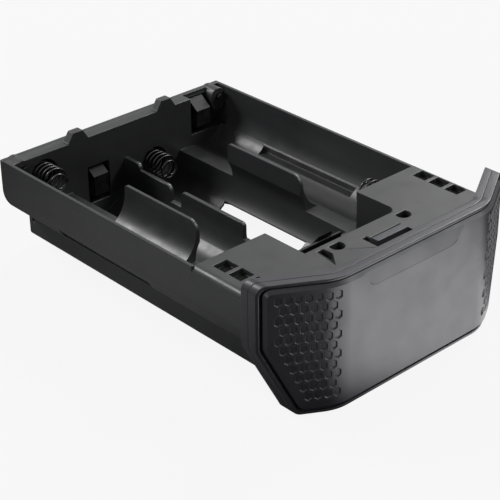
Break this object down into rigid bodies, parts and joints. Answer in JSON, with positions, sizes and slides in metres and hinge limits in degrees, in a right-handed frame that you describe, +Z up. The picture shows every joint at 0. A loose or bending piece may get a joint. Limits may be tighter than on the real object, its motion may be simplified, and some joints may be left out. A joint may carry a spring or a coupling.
{
  "type": "battery sled",
  "caption": "Open battery sled with side-by-side cell troughs, wound contact springs, a hollow contact block with a sprung latch, and a wide faceted grip cap.",
  "frame": {"origin": "middle of the lowest face of the bounding box", "axes": "+Z up out of the cell troughs, +Y from the grip cap towards the rear wall, +X to the right seen from the cap"},
  "size_m": [0.0674, 0.0922, 0.0287],
  "materials": {
    "shell_plastic": "fine moulded grain, charcoal",
    "cap_plastic": "fine grain with hexagon texture on the side facets",
    "gasket_rubber": "dull black",
    "spring_steel": "dark plated spring wire",
    "contact_metal": "dark plated sheet",
    "pocket_contact": "dark plating",
    "screw_steel": "dark plated"
  },
  "bodies": {
    "sled": {"tray_shell": "shell_plastic", "rear_cover": "shell_plastic", "block_cover": "shell_plastic", "bottom_plate": "shell_plastic", "cap_base": "cap_plastic", "cap_ring": "cap_plastic", "front_panel": "cap_plastic", "panel_gasket": "gasket_rubber", "latch_spring": "spring_steel", "contact_spring_1": "spring_steel", "contact_spring_2": "spring_steel", "contact_spring_3": "spring_steel", "contact_spring_4": "spring_steel", "contact_leaf_1": "contact_metal", "contact_leaf_2": "contact_metal", "contact_leaf_3": "contact_metal", "contact_leaf_4": "contact_metal", "rear_link_12": "contact_metal", "rear_link_34": "contact_metal", "front_link_23": "contact_metal", "output_strip_pos": "contact_metal", "output_strip_neg": "contact_metal", "output_contacts": "pocket_contact", "rear_cover_screws": "screw_steel", "bottom_screws": "screw_steel", "cap_screws": "screw_steel"},
    "latch": {"release_latch": "shell_plastic"},
    "tip_1": {"spring_tip_1": "spring_steel"},
    "tip_2": {"spring_tip_2": "spring_steel"},
    "tip_3": {"spring_tip_3": "spring_steel"},
    "tip_4": {"spring_tip_4": "spring_steel"}
  },
  "joints": [
    {"name": "spring_1_press", "type": "slide", "parent": "sled", "child": "tip_1", "axis": [0, 1, 0], "range_m": [0, 0.0038], "stiffness_N_per_m": 500, "deforming": ["contact_spring_1"]},
    {"name": "spring_2_press", "type": "slide", "parent": "sled", "child": "tip_2", "axis": [0, -1, 0], "range_m": [0, 0.0038], "stiffness_N_per_m": 500, "deforming": ["contact_spring_2"]},
    {"name": "spring_3_press", "type": "slide", "parent": "sled", "child": "tip_3", "axis": [0, 1, 0], "range_m": [0, 0.0038], "stiffness_N_per_m": 500, "deforming": ["contact_spring_3"]},
    {"name": "spring_4_press", "type": "slide", "parent": "sled", "child": "tip_4", "axis": [0, -1, 0], "range_m": [0, 0.0038], "stiffness_N_per_m": 500, "deforming": ["contact_spring_4"]},
    {"name": "latch_press", "type": "slide", "parent": "sled", "child": "latch", "axis": [0, 0, -1], "range_m": [0, 0.0018], "stiffness_N_per_m": 600, "deforming": ["latch_spring"]}
  ]
}
